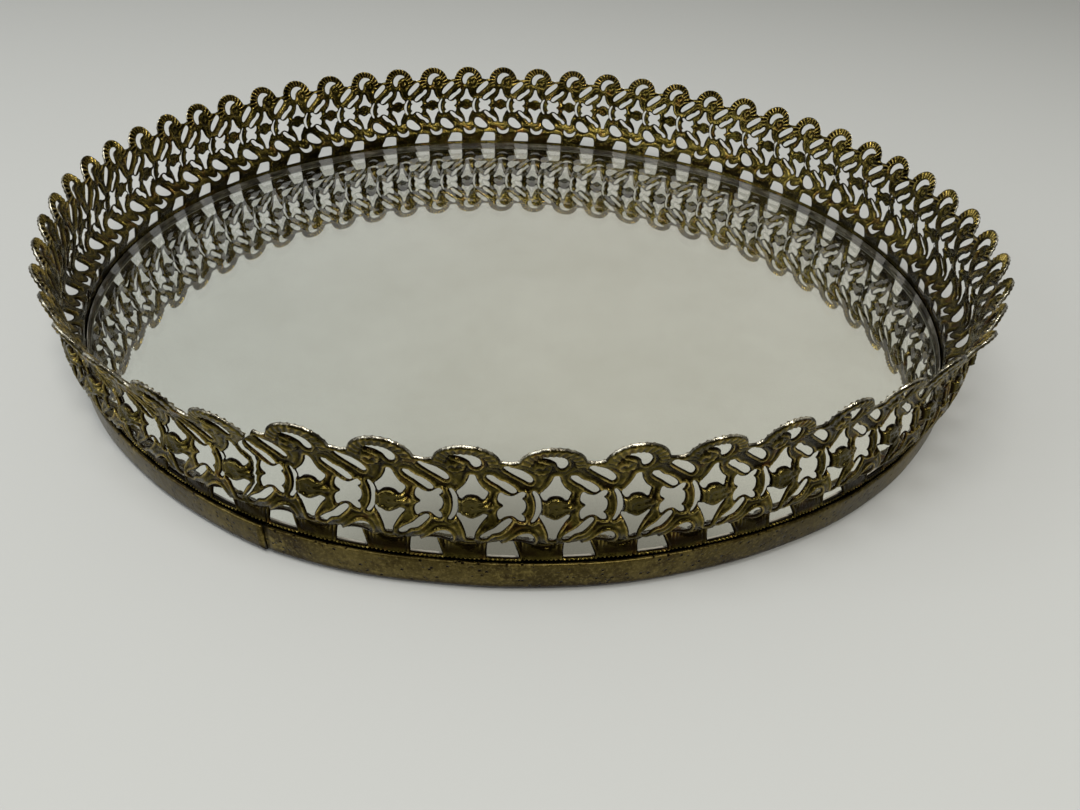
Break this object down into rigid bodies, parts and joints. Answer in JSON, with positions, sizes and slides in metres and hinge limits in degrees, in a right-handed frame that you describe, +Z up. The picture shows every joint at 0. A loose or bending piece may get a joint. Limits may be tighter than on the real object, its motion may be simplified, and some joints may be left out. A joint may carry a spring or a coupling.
{
  "type": "vanity tray",
  "caption": "Round mirror-bottomed vanity tray with a tall pierced brass gallery, a hollow windowed moulding at its foot and a plain base band.",
  "frame": {"origin": "centre of the foot, on the surface the tray stands on", "axes": "+Z up, +Y towards the back, +X to the right as seen from the front; the strip's seam is at the front left"},
  "size_m": [0.2539, 0.254, 0.0373],
  "materials": {
    "gallery": "tarnished antique, bright only on raised edges",
    "base_band": "tarnished and pitted",
    "mirror_glass": "clear plate glass silvered on its underside",
    "backing_board": "plain brown card",
    "base_felt": "dark felt"
  },
  "bodies": {
    "root": {"gallery": "gallery", "base_band": "base_band", "mirror_glass": "mirror_glass", "backing_board": "backing_board", "base_felt": "base_felt"}
  },
  "joints": []
}
